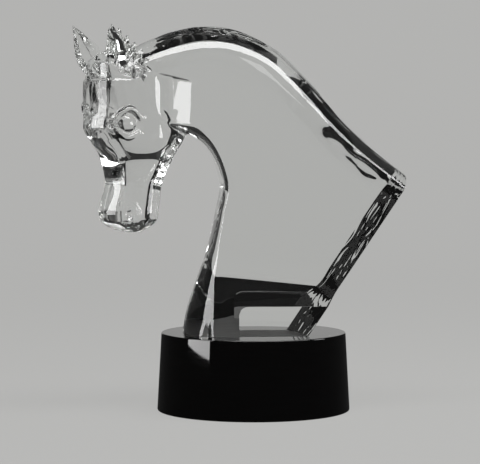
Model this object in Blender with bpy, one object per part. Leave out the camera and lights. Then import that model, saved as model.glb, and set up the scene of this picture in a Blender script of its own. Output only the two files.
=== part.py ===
"""A clear crystal horse head with an arched neck, standing on a black glass drum.

Lengths in this file are millimetres and become metres in the meshes. +Z is up, the neck lies in the XZ plane
with its face end towards -X, and the head turns towards -Y. The origin is the centre of the drum's underside.
"""

import math

import bmesh
import bpy
import numpy as np
from mathutils import Matrix, Vector

MM = 0.001
GAP = 0.3

# The drum, turned with straight tapering walls.
BASE_HEIGHT = 100.0
BASE_TOP_RADIUS = 118.5
BASE_TAPER = 5.5
BASE_EDGE = 1.5

# The foot: a round front, and behind it a flat ground into each side of the flare.
FOOT_LEVEL = BASE_HEIGHT + GAP
FLAT_SPACING = 124.0
FLAT_FRONT_X = -24.0
FLAT_TOP = FOOT_LEVEL + 37.0
FLAT_CORNER = 12.0

# The saw cut that ends the neck runs from the withers' tip down to the drum, and is slanted across the neck.
# The place where it meets the drum is given on the near flat of the foot.
WITHERS = (191.5, 306.0)
CUT_FOOT_X = 64.5
CUT_SLANT = 9.0

# Cutting blocks reach this far past the crystal, and start this far below its underside.
CUTTER_REACH = 500.0
CUTTER_START = FOOT_LEVEL - 20.0

# Neck sections from the foot to the poll: throat-side point (x, z), mane-side point (x, z), half thickness,
# length of the round on the throat side and on the near side of the mane, and how far the section leans to
# the near side. The far side of the mane is rounded off more, but over no more than a share of the section.
NECK_SECTIONS = (
    (-92, 94, 240, 94, 78, 60, 54, 0),
    (-88, 120, 240, 112, 71, 56, 54, 0),
    (-82, 143, 240, 128, 63, 44, 54, 0),
    (-71, 175, 240, 138, 54, 24, 54, 0),
    (-62, 200, 240, 170, 54, 15, 54, 0),
    (-55, 226, 240, 235, 54, 10, 54, 0),
    (-48, 258, 228, 277, 54, 8, 40, 0),
    (-43, 287, 206, 294, 54, 8, 40, 0),
    (-48, 311, 151, 338, 54, 8, 40, 0),
    (-55, 328, 111, 377, 54, 8, 42, 0),
    (-63, 340, 70, 423, 54, 9, 48, 0),
    (-73, 349, 26, 465, 54, 11, 54, 0),
    (-84, 355, -21, 487, 54, 13, 54, 0),
    (-96, 360, -64, 492, 54, 13, 54, 0),
    (-110, 365, -103, 486, 52, 13, 54, 2),
    (-124, 371, -133, 475, 47, 13, 48, 5),
    (-138, 380, -154, 462, 40, 13, 40, 9),
    (-149, 394, -163, 444, 32, 13, 26, 13),
)
FAR_MANE_ROUND = 72.0
FAR_MANE_SHARE = 0.6

# The head's own frame: x forward along the face, y to the near side, z the height above the floor.
HEAD_PIVOT = (-133.5, -8.0)
HEAD_TURN = 38.0

# Half of a head section from the middle of the face to the middle of the jaw, as shares of its half depth and
# half width: a flat forehead with a bevel beside it, a flat cheek that widens backwards, and a rounded jaw.
HEAD_OUTLINE = (
    (1.0, 0.0), (0.985, 0.38), (0.92, 0.72), (0.1, 0.96), (-0.2, 1.0), (-0.7, 1.0), (-0.92, 0.85),
    (-1.0, 0.5), (-1.0, 0.0),
)

# Head sections from the poll down to the lips: height, centre of the section, half depth, half width.
HEAD_SECTIONS = (
    (462, 61, 5, 4),
    (456, 66, 13, 15),
    (446, 67, 23, 27),
    (436, 60, 32, 33),
    (424, 45, 47, 34.5),
    (408, 38, 55, 35),
    (392, 33, 60, 35),
    (376, 28, 66, 35),
    (360, 24, 71, 35),
    (346, 22, 62, 34),
    (334, 22, 53, 31.5),
    (322, 22.5, 47, 28),
    (306, 25, 40, 26),
    (290, 28, 35, 25),
    (266, 34, 37, 26),
    (250, 36, 36, 26),
    (239, 34, 29, 19),
    (231, 29, 9, 6),
)

# The cheeks are pressed in beside the neck, up to a crease that falls towards the withers. Behind the near
# cheek a slope, given by its turn from the neck's side, rises from the cheek to the neck. The cutters that
# press them in start below the throat, and run past the neck.
CHEEK_LEVEL = 36.0
CHEEK_FRONT = 110.0
CREASE_X = -110.0
CREASE_Z = 424.0
CREASE_FALL = 0.27
NEAR_SLOPE = 34.0
NEAR_SLOPE_X = -79.0
FAR_SLOPE_X = -114.0
NECK_HALF = 54.0
POCKET_START = 330.0
POCKET_REACH = 160.0
POCKET_OVERLAP = 20.0

# Features in the head's frame.
EYE_CENTRE = (61, 27, 368)
EYE_RADII = (16, 10, 13)
NOSTRIL_CENTRE = (57, 12, 258)
NOSTRIL_RADII = (17, 15, 17)

# Ears, for the near side and the far side. Each turns its hollow by its own turn. Sections: share of the
# length, half width. The section's outline is given as shares of the half width, across the ear and to its
# front.
EAR_ROOTS = {1: (74, 22, 438), -1: (72, -20, 438)}
EAR_TIPS = {1: (84, 27, 490), -1: (104, -24, 489)}
EAR_TURNS = {1: 8.0, -1: 36.0}
EAR_SECTIONS = ((0.0, 15), (0.2, 17), (0.4, 15.5), (0.65, 9.5), (0.88, 3.6), (1.0, 0.5))
EAR_OUTLINE = (
    (1, 0.3), (0.55, -0.12), (0, -0.28), (-0.55, -0.12), (-1, 0.3), (-0.7, -0.42), (0, -0.86), (0.7, -0.42)
)
EAR_BOW = 4.0

# Locks of the forelock: root, tip, half width. Each narrows along its length as the sections say.
FORELOCKS = (
    ((66, 8, 436), (73, 11, 487), 7.5),
    ((60, 3, 436), (61, 7, 481), 7.5),
    ((54, 10, 436), (50, 9, 475), 8.0),
    ((47, 2, 434), (40, 6, 468), 8.0),
    ((40, 9, 432), (30, 8, 459), 8.0),
    ((34, 3, 430), (19, 5, 448), 7.5),
    ((62, 15, 434), (60, 19, 468), 6.5),
    ((67, 25, 432), (55, 23, 477), 7.0),
    ((55, 27, 428), (34, 26, 460), 6.5),
)
LOCK_SECTIONS = ((0.0, 0.9), (0.35, 1.1), (0.7, 0.85), (0.92, 0.5), (1.0, 0.16))
LOCK_SIDES = 6
LOCK_FLATNESS = 0.7

# How finely each shape is divided.
NECK_RINGS = 44
NECK_RING_POINTS = 44
HEAD_RINGS = 32
HEAD_RING_POINTS = 40
EAR_RINGS = 9
BASE_RING_POINTS = 96
BASE_EDGE_POINTS = 4
FLAT_CORNER_POINTS = 7
SMOOTH_BELOW = 35.0

CRYSTAL = ("clear_crystal", (0.92, 0.94, 0.93), 0.02)
BLACK_GLASS = ("black_glass", (0.004, 0.004, 0.005), 0.05)


def clear_scene():
    for obj in list(bpy.data.objects):
        bpy.data.objects.remove(obj)


def material(name, colour, roughness):
    made = bpy.data.materials.new(name)
    made.use_nodes = True
    shader = made.node_tree.nodes["Principled BSDF"]
    shader.inputs["Base Color"].default_value = (*colour, 1.0)
    shader.inputs["Roughness"].default_value = roughness
    return made


def through(stations, count):
    """Rows of numbers read off a smooth curve that passes through every station, evenly by station."""
    rows = np.asarray(stations, float)
    slopes = np.gradient(rows, axis=0)
    at = np.linspace(0, len(rows) - 1, count)
    first = np.minimum(at.astype(int), len(rows) - 2)
    t = (at - first)[:, None]
    rise = t * t * (3 - 2 * t)
    return (
        (1 - rise) * rows[first]
        + rise * rows[first + 1]
        + t * (1 - t) ** 2 * slopes[first]
        - t * t * (1 - t) * slopes[first + 1]
    )


def angles(count):
    return np.linspace(0, 2 * math.pi, count, endpoint=False)


def object_from(name, bm):
    bmesh.ops.recalc_face_normals(bm, faces=bm.faces)
    mesh = bpy.data.meshes.new(name)
    bm.to_mesh(mesh)
    bm.free()
    made = bpy.data.objects.new(name, mesh)
    bpy.context.scene.collection.objects.link(made)
    return made


def loft(name, rings):
    """A closed skin over a row of rings, with a flat face on each end."""
    bm = bmesh.new()
    loops = [[bm.verts.new(Vector(point) * MM) for point in ring] for ring in rings]
    for lower, upper in zip(loops, loops[1:]):
        for i in range(len(lower)):
            j = (i + 1) % len(lower)
            bm.faces.new((lower[i], lower[j], upper[j], upper[i]))
    bm.faces.new(loops[0])
    bm.faces.new(loops[-1])
    return object_from(name, bm)


def as_helper(obj):
    obj.hide_render = True
    obj.display_type = "WIRE"
    return obj


def neck():
    """Each section has a short round on the throat side, flat sides and a full round on the mane side."""
    arc = np.linspace(-math.pi / 2, math.pi / 2, NECK_RING_POINTS // 2)
    rings = []
    for throat_x, throat_z, mane_x, mane_z, half, front_round, mane_round, lean in through(
        NECK_SECTIONS, NECK_RINGS
    ):
        span = math.hypot(mane_x - throat_x, mane_z - throat_z)
        front = front_round / span * (1 - np.cos(arc))
        far_round = min(FAR_MANE_ROUND, FAR_MANE_SHARE * span)
        back = 1 - np.where(arc > 0, far_round, mane_round) / span * (1 - np.cos(arc))
        along = np.concatenate([front, back[::-1]])
        y = half * np.sin(np.concatenate([arc, arc[::-1]])) - lean
        x = throat_x + (mane_x - throat_x) * along
        z = throat_z + (mane_z - throat_z) * along
        rings.append(np.stack([x, y, z], axis=1))
    return loft("horse_head", rings)


def head():
    half = np.array(HEAD_OUTLINE)
    outline = np.concatenate([half, half[-2:0:-1] * (1, -1), half[:1]])
    run = np.concatenate([[0], np.cumsum(np.hypot(*np.diff(outline, axis=0).T))])
    at = np.linspace(0, run[-1], HEAD_RING_POINTS, endpoint=False)
    c, s = (np.interp(at, run, outline[:, axis]) for axis in (0, 1))
    rings = []
    for height, centre, depth, width in through(HEAD_SECTIONS, HEAD_RINGS):
        rings.append(np.stack([centre + depth * c, width * s, np.full_like(s, height)], axis=1))
    return loft("head", rings)


def ear(side):
    """A pointed leaf with a hollow front, sharp rims and a ridge down its back."""
    root, tip = Vector(EAR_ROOTS[side]), Vector(EAR_TIPS[side])
    along = (tip - root).normalized()
    turn = math.radians(EAR_TURNS[side])
    front = Vector((math.cos(turn), -side * math.sin(turn), 0))
    front = (front - front.dot(along) * along).normalized()
    across = along.cross(front)
    rings = []
    for share, width in through(EAR_SECTIONS, EAR_RINGS):
        centre = root.lerp(tip, share) - front * EAR_BOW * math.sin(math.pi * share)
        rings.append([centre + across * (width * a) + front * (width * b) for a, b in EAR_OUTLINE])
    return loft(f"ear_{side}", rings)


def lock(number, root, tip, width):
    """A chiselled shard with flat sides, widest a third of the way up."""
    root, tip = Vector(root), Vector(tip)
    along = (tip - root).normalized()
    across = along.cross(Vector((0, 1, 0))).normalized()
    out = along.cross(across)
    rings = []
    for share, size in LOCK_SECTIONS:
        centre = root.lerp(tip, share)
        turn = angles(LOCK_SIDES) + number
        x, y = width * size * np.cos(turn), LOCK_FLATNESS * width * size * np.sin(turn)
        rings.append([centre + across * a + out * b for a, b in zip(x, y)])
    return loft(f"lock_{number}", rings)


def bump(name, centre, radii, side):
    bm = bmesh.new()
    bmesh.ops.create_icosphere(bm, subdivisions=3, radius=MM)
    place = Matrix.Translation(Vector((centre[0], side * centre[1], centre[2])) * MM)
    bmesh.ops.transform(bm, matrix=place @ Matrix.Diagonal((*radii, 1)), verts=bm.verts)
    return object_from(name, bm)


def block(name, low, high):
    bm = bmesh.new()
    bmesh.ops.create_cube(bm, size=1)
    low = Vector(low) * MM
    high = Vector(high) * MM
    size = high - low
    place = Matrix.Translation((low + high) / 2) @ Matrix.Diagonal((*size, 1))
    bmesh.ops.transform(bm, matrix=place, verts=bm.verts)
    return object_from(name, bm)


def saw_cut():
    """A block whose one face is the plane from the withers' tip down to the drum."""
    slant = math.radians(CUT_SLANT)
    foot_x = CUT_FOOT_X - FLAT_SPACING / 2 * math.tan(slant)
    lean = math.atan2(WITHERS[0] - foot_x, WITHERS[1] - FOOT_LEVEL)
    cutter = block("saw_cut", (0, -CUTTER_REACH, -CUTTER_REACH), (CUTTER_REACH,) * 3)
    cutter.location = Vector((foot_x, 0, FOOT_LEVEL)) * MM
    cutter.rotation_euler = (0, lean, slant)
    return cutter


def place_of(forward, side):
    """Plan position of a place in the head's frame."""
    turn = math.radians(180 + HEAD_TURN)
    return (
        HEAD_PIVOT[0] + forward * math.cos(turn) - side * math.sin(turn),
        HEAD_PIVOT[1] + forward * math.sin(turn) + side * math.cos(turn),
    )


def pocket(name, outline):
    """A cutter over a plan outline, from below the throat up to the crease above the cheek."""
    low = [(x, y, POCKET_START) for x, y in outline]
    high = [(x, y, CREASE_Z - CREASE_FALL * (x - CREASE_X)) for x, y in outline]
    return loft(name, [low, high])


def near_pocket():
    """Bounded by the near cheek and by the slope behind it."""
    front_x, front_y = place_of(CHEEK_FRONT, CHEEK_LEVEL)
    back_x, back_y = place_of(0, CHEEK_LEVEL)
    cheek_rise = (front_y - back_y) / (front_x - back_x)
    slope_rise = -math.tan(math.radians(NEAR_SLOPE))
    apart = back_y - cheek_rise * back_x + NECK_HALF + slope_rise * NEAR_SLOPE_X
    corner_x = apart / (slope_rise - cheek_rise)
    corner_y = back_y + cheek_rise * (corner_x - back_x)
    end_x = NEAR_SLOPE_X + POCKET_OVERLAP
    end_y = -NECK_HALF + slope_rise * POCKET_OVERLAP
    outline = [
        (end_x, end_y),
        (corner_x, corner_y),
        (front_x, front_y),
        (front_x, -POCKET_REACH),
        (end_x, -POCKET_REACH),
    ]
    return pocket("near_pocket", outline)


def far_pocket():
    """Bounded by the far cheek."""
    front_x, front_y = place_of(CHEEK_FRONT, -CHEEK_LEVEL)
    back_x, back_y = place_of(0, -CHEEK_LEVEL)
    rise = (front_y - back_y) / (front_x - back_x)
    corner_y = back_y + rise * (FAR_SLOPE_X - back_x)
    outline = [
        (FAR_SLOPE_X, corner_y),
        (FAR_SLOPE_X, POCKET_REACH),
        (front_x, POCKET_REACH),
        (front_x, front_y),
    ]
    return pocket("far_pocket", outline)


def side_flat(side):
    """A slab that grinds one flat into the side of the foot, its upper front corner rounded."""
    corner = [
        (FLAT_FRONT_X + FLAT_CORNER * (1 - math.cos(a)), FLAT_TOP - FLAT_CORNER * (1 - math.sin(a)))
        for a in np.linspace(0, math.pi / 2, FLAT_CORNER_POINTS)
    ]
    outline = [
        (FLAT_FRONT_X, CUTTER_START),
        *corner,
        (CUTTER_REACH, FLAT_TOP),
        (CUTTER_REACH, CUTTER_START),
    ]
    faces = (side * FLAT_SPACING / 2, side * CUTTER_REACH)
    return loft(f"side_flat_{side}", [[(x, y, z) for x, z in outline] for y in faces])


def underside():
    """A block whose top face levels the foot."""
    reach = CUTTER_REACH
    return block("underside", (-reach, -reach, -reach), (reach, reach, FOOT_LEVEL))


def apply_booleans(body, joined, cut):
    """Joins and cuts the body, keeps the finished mesh and removes the helpers."""
    for operation, helpers in (("UNION", joined), ("DIFFERENCE", cut)):
        for helper in helpers:
            as_helper(helper)
            step = body.modifiers.new(helper.name, "BOOLEAN")
            step.operation = operation
            step.solver = "MANIFOLD"
            step.object = helper
    bpy.context.view_layer.update()
    evaluated = body.evaluated_get(bpy.context.evaluated_depsgraph_get())
    finished = bpy.data.meshes.new_from_object(evaluated)
    body.modifiers.clear()
    body.data = finished
    for helper in (*joined, *cut):
        bpy.data.objects.remove(helper)


def shade(obj, made):
    obj.data.materials.clear()
    obj.data.materials.append(made)
    obj.data.shade_smooth()
    obj.data.set_sharp_from_angle(angle=math.radians(SMOOTH_BELOW))


def horse_head():
    body = neck()
    apply_booleans(body, [], [near_pocket(), far_pocket(), side_flat(1), side_flat(-1)])
    carving = [head()]
    for side in (1, -1):
        carving.append(ear(side))
        carving.append(bump(f"eye_{side}", EYE_CENTRE, EYE_RADII, side))
        carving.append(bump(f"nostril_{side}", NOSTRIL_CENTRE, NOSTRIL_RADII, side))
    for number, shape in enumerate(FORELOCKS):
        carving.append(lock(number, *shape))
    for piece in carving:
        piece.location = Vector((*HEAD_PIVOT, 0)) * MM
        piece.rotation_euler = (0, 0, math.radians(180 + HEAD_TURN))
    apply_booleans(body, carving, [saw_cut(), underside()])
    shade(body, material(*CRYSTAL))


def base():
    """A turned drum, its two edges rounded."""
    bottom_radius = BASE_TOP_RADIUS + BASE_TAPER
    arc = np.linspace(0, math.pi / 2, BASE_EDGE_POINTS)
    inset = BASE_EDGE * (1 - np.cos(arc))
    low = zip(bottom_radius - inset[::-1], inset)
    high = zip(BASE_TOP_RADIUS - inset, BASE_HEIGHT - inset[::-1])
    turn = angles(BASE_RING_POINTS)
    rings = []
    for radius, z in (*low, *high):
        rings.append(np.stack([radius * np.cos(turn), radius * np.sin(turn), np.full_like(turn, z)], axis=1))
    drum = loft("base", rings)
    shade(drum, material(*BLACK_GLASS))


clear_scene()
base()
horse_head()
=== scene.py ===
"""Crystal horse head on a black glass drum, as a Blender add-on.

Run as a script, it makes the crystal, the drum and the studio in turn. Shapes are worked out in millimetres
and degrees, and become metres and radians in the meshes. The neck lies in the XZ plane with the face towards
-X, and the head turns towards -Y, so the near side is the -Y side.
"""

import math

import bmesh
import bpy
import numpy as np
import openvdb
from bpy.props import FloatProperty, FloatVectorProperty, IntProperty, PointerProperty
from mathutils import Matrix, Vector


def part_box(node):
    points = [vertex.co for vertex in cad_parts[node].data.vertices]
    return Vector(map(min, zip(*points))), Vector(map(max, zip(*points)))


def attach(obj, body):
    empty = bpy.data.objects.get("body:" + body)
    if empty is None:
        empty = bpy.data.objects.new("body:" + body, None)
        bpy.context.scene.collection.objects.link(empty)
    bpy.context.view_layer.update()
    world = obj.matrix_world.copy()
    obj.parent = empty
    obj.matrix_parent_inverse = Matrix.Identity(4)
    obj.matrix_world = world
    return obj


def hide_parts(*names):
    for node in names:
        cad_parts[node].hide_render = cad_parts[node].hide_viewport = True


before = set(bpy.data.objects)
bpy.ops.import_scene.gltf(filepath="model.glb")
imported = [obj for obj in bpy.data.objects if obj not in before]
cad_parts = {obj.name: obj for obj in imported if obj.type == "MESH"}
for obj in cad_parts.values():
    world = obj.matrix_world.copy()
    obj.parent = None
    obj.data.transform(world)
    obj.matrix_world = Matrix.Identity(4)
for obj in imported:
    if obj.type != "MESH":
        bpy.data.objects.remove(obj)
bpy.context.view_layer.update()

bl_info = {
    "name": "Crystal horse head",
    "version": (1, 0, 0),
    "blender": (4, 5, 0),
    "location": "3D View > Sidebar > Crystal",
    "description": "Makes a hot-worked crystal horse head on a black glass drum, in a plain studio",
    "category": "Object",
}

MM = 0.001
CRYSTAL_NODE = "horse_head"
DRUM_NODE = "base"
BODY = "root"
SEED = 7

# Heights and sizes read off the frame.
FOOT_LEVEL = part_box(CRYSTAL_NODE)[0][2] / MM
DRUM_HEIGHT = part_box(DRUM_NODE)[1][2]
DRUM_FOOT_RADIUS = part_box(DRUM_NODE)[1][0]

# The cut that ends the neck runs from the withers' tip down to the drum, where it meets the near flat of the
# foot.
WITHERS_X = 191.5
WITHERS_Z = 306.0
CUT_FOOT_X = 64.5

# The flats ground into the sides of the foot, with a rounded upper front corner.
FLAT_FRONT_X = -24.0
FLAT_TOP = FOOT_LEVEL + 37.0
FLAT_CORNER = 12.0
FLAT_CORNER_POINTS = 13

# Cutting blocks reach this far past the crystal.
CUTTER_REACH = 500.0

# Neck sections from the foot to the poll: throat-side point (x, z), mane-side point (x, z), half thickness,
# length of the round on the throat side and on the near side of the mane, and how far the section leans to
# the near side. The far side of the mane is rounded off more, but over no more than a share of the section.
NECK_SECTIONS = (
    (-92, 94, 240, 94, 78, 60, 54, 0),
    (-88, 120, 240, 112, 71, 56, 54, 0),
    (-82, 143, 240, 128, 63, 44, 54, 0),
    (-71, 175, 240, 138, 54, 24, 54, 0),
    (-62, 200, 240, 170, 54, 15, 54, 0),
    (-55, 226, 240, 235, 54, 10, 54, 0),
    (-48, 258, 228, 277, 54, 8, 40, 0),
    (-43, 287, 206, 294, 54, 8, 40, 0),
    (-48, 311, 151, 338, 54, 8, 40, 0),
    (-55, 328, 111, 377, 54, 8, 42, 0),
    (-63, 340, 70, 423, 54, 9, 48, 0),
    (-73, 349, 26, 465, 54, 11, 54, 0),
    (-84, 355, -21, 487, 54, 13, 54, 0),
    (-96, 360, -64, 492, 54, 13, 54, 0),
    (-110, 365, -103, 486, 52, 13, 54, 2),
    (-124, 371, -133, 475, 47, 13, 48, 5),
    (-138, 380, -154, 462, 40, 13, 40, 9),
    (-149, 394, -163, 444, 32, 13, 26, 13),
)
FAR_MANE_ROUND = 72.0
FAR_MANE_SHARE = 0.6

# The head's own frame: forward along the face, side to the near side, and height above the floor.
HEAD_PIVOT = (-133.5, -8.0)
HEAD_TURN = 38.0

# Half of a head section from the middle of the face to the middle of the jaw, as shares of its half depth and
# half width: a flat forehead with a bevel beside it, a flat cheek that widens backwards, and a rounded jaw.
HEAD_OUTLINE = (
    (1.0, 0.0), (0.985, 0.38), (0.92, 0.72), (0.1, 0.96), (-0.2, 1.0), (-0.7, 1.0), (-0.92, 0.85),
    (-1.0, 0.5), (-1.0, 0.0),
)

# The same half section for the nose and the jaw, round at the front, and the heights between which one
# becomes the other.
NOSE_OUTLINE = (
    (1.0, 0.0), (0.97, 0.35), (0.91, 0.66), (0.78, 0.83), (0.5, 0.92), (-0.1, 1.0), (-0.68, 0.97),
    (-0.9, 0.76), (-0.98, 0.42), (-1.0, 0.0),
)
NOSE_BELOW = 364.0
FOREHEAD_ABOVE = 386.0

# Head sections from the poll down to the lips: height, centre of the section, half depth, half width.
HEAD_SECTIONS = (
    (462, 61, 5, 4),
    (456, 66, 13, 15),
    (446, 67, 23, 27),
    (436, 60, 32, 33),
    (424, 45, 47, 34.5),
    (408, 38, 55, 35),
    (392, 33, 60, 35),
    (376, 28, 66, 35),
    (360, 24, 71, 35),
    (346, 22, 62, 34),
    (334, 22, 53, 31.5),
    (322, 22.5, 47, 28),
    (306, 25, 40, 26),
    (290, 28, 35, 25),
    (266, 34, 37, 26),
    (250, 36, 36, 26),
    (239, 34, 29, 19),
    (231, 29, 9, 6),
)

# The cheeks are pressed in beside the neck, up to a crease given by its places (x, z). Behind the near cheek
# a slope, given by its turn from the neck's side at the crease and by how much less it turns for each
# millimetre below it, rises from the cheek to the neck. Nothing is pressed in past the last x. The rounds
# melt the cheek and the slope into the neck, and the head onto it.
CHEEK_HALF = 35.0
CREASE = ((-170, 439), (-110, 428), (-79, 420))
NEAR_SLOPE = 34.0
NEAR_TWIST = 0.05
NEAR_SLOPE_X = -79.0
FAR_SLOPE_X = -114.0
NECK_HALF = 54.0
PRESSED_TO_X = -60.0
CREASE_ROUND = 3.0
CHEEK_ROUND = 5.0
HEAD_ROUND = 4.0

# The eyes, in the head's frame and for the near side: the socket, the ball, the dish under the eye, each as
# its centre and radii, and the lids, each as the places that it passes through and its radius. The rounds
# melt the ball, the lids, the socket and the dish into the face. The far brow is a ball too.
EYE_SOCKET = ((61, 40, 367), (24, 13, 17))
EYE_BALL = ((61, 26.5, 368), (15, 9, 12))
EYE_DISH = ((56, 41, 336), (16, 8.5, 10))
EYE_LIDS = (
    (((40, 31, 375), (60, 33, 386), (82, 27, 372)), 3.6),
    (((44, 32, 356), (62, 31, 350), (78, 28, 360)), 2.4),
)
EYE_REACH = 45.0
BALL_ROUND = 2.0
LID_ROUND = 3.0
SOCKET_ROUND = 4.0
FAR_BROW = ((76, -28, 388), (9, 11, 12))
BROW_REACH = 30.0

# The nostrils, for the near side: the centre of two raised rings (radius, height, half width), how narrow the
# rings are, where they fade out towards the middle of the nose, and the hollow inside them.
NOSTRIL_CENTRE = (52, 24, 255)
NOSTRIL_RINGS = ((9.5, 1.8, 1.8), (15.0, 1.0, 1.7))
NOSTRIL_NARROWING = 0.85
NOSTRIL_FADE = (4, 12)
NOSTRIL_HOLLOW = ((52, 27, 254), (5, 8, 6))
NOSTRIL_REACH = (34.0, 24.0)
NOSTRIL_ROUND = 2.0

# The mouth: the slit's line and radius on the near side, and the rough patch on the lips, with its depth, the
# size of its lumps, and the height and the forward place that it fades in over.
MOUTH_LINE = ((22, 27, 246), (40, 27, 240), (60, 22, 243))
MOUTH_RADIUS = 3.0
MOUTH_CENTRE = (42, 25, 242)
MOUTH_REACH = 32.0
MOUTH_ROUND = 1.5
LIPS_CENTRE = (36, 10, 240)
LIPS_REACH = 36.0
LIPS_DEPTH = 1.1
LIPS_SIZE = (5, 5, 4)
LIPS_BELOW = (242, 252)
LIPS_BEHIND = (50, 62)

# The crown stands back from the face by this much, above these heights and in front of these forward places.
CROWN_STEP = 2.2
CROWN_CENTRE = (70, 0, 440)
CROWN_REACH = 60.0
CROWN_ABOVE = (421, 423.5)
CROWN_FRONT = (50, 56)

# Ears, in the head's frame, for the near side (1) and the far side (-1). Each turns its hollow towards the
# other. Sections: share of the length, half width. The outline of a section is given as shares of the half
# width, across the ear and to its front. The roughness is how far the tools left each ear uneven, as a share
# of the half width.
EAR_ROOTS = {1: (74, 22, 438), -1: (72, -20, 438)}
EAR_TIPS = {1: (84, 27, 490), -1: (104, -24, 489)}
EAR_TURNS = {1: 8.0, -1: 36.0}
EAR_SECTIONS = ((0.0, 15), (0.2, 17), (0.4, 15.5), (0.65, 9.5), (0.88, 3.6), (1.0, 0.5))
EAR_OUTLINE = (
    (1, 0.3), (0.55, -0.12), (0, -0.28), (-0.55, -0.12), (-1, 0.3), (-0.7, -0.42), (0, -0.86), (0.7, -0.42),
)
EAR_BOW = 4.0
EAR_ROUGHNESS = {1: 0.2, -1: 0.03}

# Locks of the forelock, in the head's frame: root, tip, half width.
FORELOCKS = (
    ((66, 8, 436), (73, 11, 487), 7.5),
    ((60, 3, 436), (61, 7, 481), 7.5),
    ((54, 10, 436), (50, 9, 475), 8.0),
    ((47, 2, 434), (40, 6, 468), 8.0),
    ((40, 9, 432), (30, 8, 459), 8.0),
    ((34, 3, 430), (19, 5, 448), 7.5),
    ((62, 15, 434), (60, 19, 468), 6.5),
    ((71, 24, 436), (67, 22, 486), 6.5),
    ((67, 25, 432), (55, 23, 477), 7.0),
    ((61, 26, 430), (44, 24, 469), 7.0),
    ((55, 27, 428), (34, 26, 460), 6.5),
    ((49, 28, 426), (26, 28, 449), 6.0),
)

# Each lock narrows along its length: share of the length, share of the half width.
LOCK_SECTIONS = ((0.0, 0.9), (0.35, 1.1), (0.7, 0.85), (0.92, 0.5), (1.0, 0.16))
LOCK_SIDES = 6
LOCK_FLATNESS = 0.7
LOCK_TWIST = 0.5

# Tool marks along the mane: how large along it, across it and into it, where they start and end along it, how
# far from it they reach, and where they fade in from the near side. The far side has larger grooves, up to
# where they end along the mane. Both are pressed only into clay this near to the skin.
MARK_SIZE = (30, 8, 8)
MARK_START = (225, 275)
MARK_END = (610, 650)
MARK_REACH = (26, 40)
MARK_SIDE = (-40, -26)
GROOVE_SIZE = (24, 16, 12)
GROOVE_END = (400, 470)
GROOVE_SIDE = (6, 22)
MARKED_SKIN = (4, 8)
MANE_LOW = (-200, -60, 230)
MANE_PLACES = 480

# How many random values the noise that lumps and marks are made from has along each axis before it repeats.
LATTICE = 64

# How many straight steps a bent rod takes for each place that it passes through.
ROD_STEPS = 8

# Slopes are taken as no smaller than this where something is divided by them.
TINY = 1e-6

# The grid that the crystal is worked in: its corners, and how many steps to each side of the skin it covers.
WORK_LOW = (-240, -110, 86)
WORK_HIGH = (215, 104, 500)
BAND_STEPS = 9

# The drum's hair-thin axis, which its points merge at, and the steps round each of its edges.
DRUM_AXIS_RADIUS = 0.01 * MM
DRUM_EDGE_STEPS = 5

# How much of the skin's detail may be lost where it is flat, how often its points are drawn onto it, and the
# slope of the field that this takes as the least, so that no point is thrown off.
SKIN_THRIFT = 0.001
SKIN_PASSES = 3
SKIN_LEAST_SLOPE = 0.5

# Rings and points of the masses before they are melted together.
NECK_RINGS = (600, 440)
HEAD_RINGS = (420, 400)
EAR_RINGS = 10

# Points this close are one where two rims of the crystal meet.
SEAM_WIDTH = 0.0001 * MM

# Corners sharper than this stay crisp on the welded pieces, which are the faces this far off the worked skin.
# A face lies on a flat cut if its middle is this near to the cut's plane and its normal this near to the
# plane's.
CRISP_ANGLE = 24.0
WELDED_OFF_SKIN = 0.3
CUT_NEARNESS = 0.05
CUT_ALIGNMENT = 0.999

# The room: a backdrop that starts behind the piece and curves up, walls all round, and dark flags. Each flag
# beside the backdrop runs between two directions in degrees, and the one that lies just above the floor
# between two corners.
BACKDROP_FRONT = 2600.0
BACKDROP_CURVE = 600.0
BACKDROP_TOP = 1200.0
BACKDROP_SIDES = (-1050.0, 1350.0)
BACKDROP_STEPS = 16
WALL_RADIUS = 4600.0
WALL_HEIGHT = 2000.0
WALL_STEPS = 49
FLAG_RADIUS = 3000.0
LEFT_FLAG = (-72.0, -20.0)
RIGHT_FLAG = (25.0, 76.0)
FLOOR_FLAG = ((-300.0, 120.0), (2500.0, 700.0))
FLOOR_FLAG_HEIGHT = 1.0

# How much of the light that falls on the paper it sends back, beside its own glow.
PAPER_MATT = 0.06

# Softboxes, in metres and watts: name, place, what it aims at, size, power, and whether it lights the paper
# and shows through the crystal, or is only mirrored.
SOFTBOXES = (
    ("overhead_softbox", (0.55, -0.5, 1.7), (0.45, 0, 0.3), (2.7, 0.5), 39, True),
    ("left_softbox", (-1.6, -0.45, 0.69), (0, 0, 0.69), (0.95, 1.28), 31, False),
    ("right_softbox", (1.6, -0.2, 0.4), (-0.1, 0, 0.3), (0.5, 0.6), 8, False),
    ("fill_softbox", (1.5, -2.5, 2.4), (0, 0, 0.2), (0.8, 0.8), 6, True),
)

# The camera's height and sensor, how far it tips down and swings off the axis, and how deep light is followed
# into the glass.
CAMERA_HEIGHT = 0.354
CAMERA_SENSOR = 36.0
CAMERA_TIP = math.radians(2.795)
CAMERA_SWING = math.radians(0.387)
GLASS_BOUNCES = 24

# Refraction of lead-free crystal and of plain black glass.
CRYSTAL_IOR = 1.52
BLACK_GLASS_IOR = 1.5


# ---------------------------------------------------------------- small tools


def through(stations, count):
    """Rows of numbers read off a smooth curve that passes through every station, evenly by station."""
    rows = np.asarray(stations, float)
    slopes = np.gradient(rows, axis=0)
    at = np.linspace(0, len(rows) - 1, count)
    first = np.minimum(at.astype(int), len(rows) - 2)
    t = (at - first)[:, None]
    rise = t * t * (3 - 2 * t)
    return (
        (1 - rise) * rows[first]
        + rise * rows[first + 1]
        + t * (1 - t) ** 2 * slopes[first]
        - t * t * (1 - t) * slopes[first + 1]
    )


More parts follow.
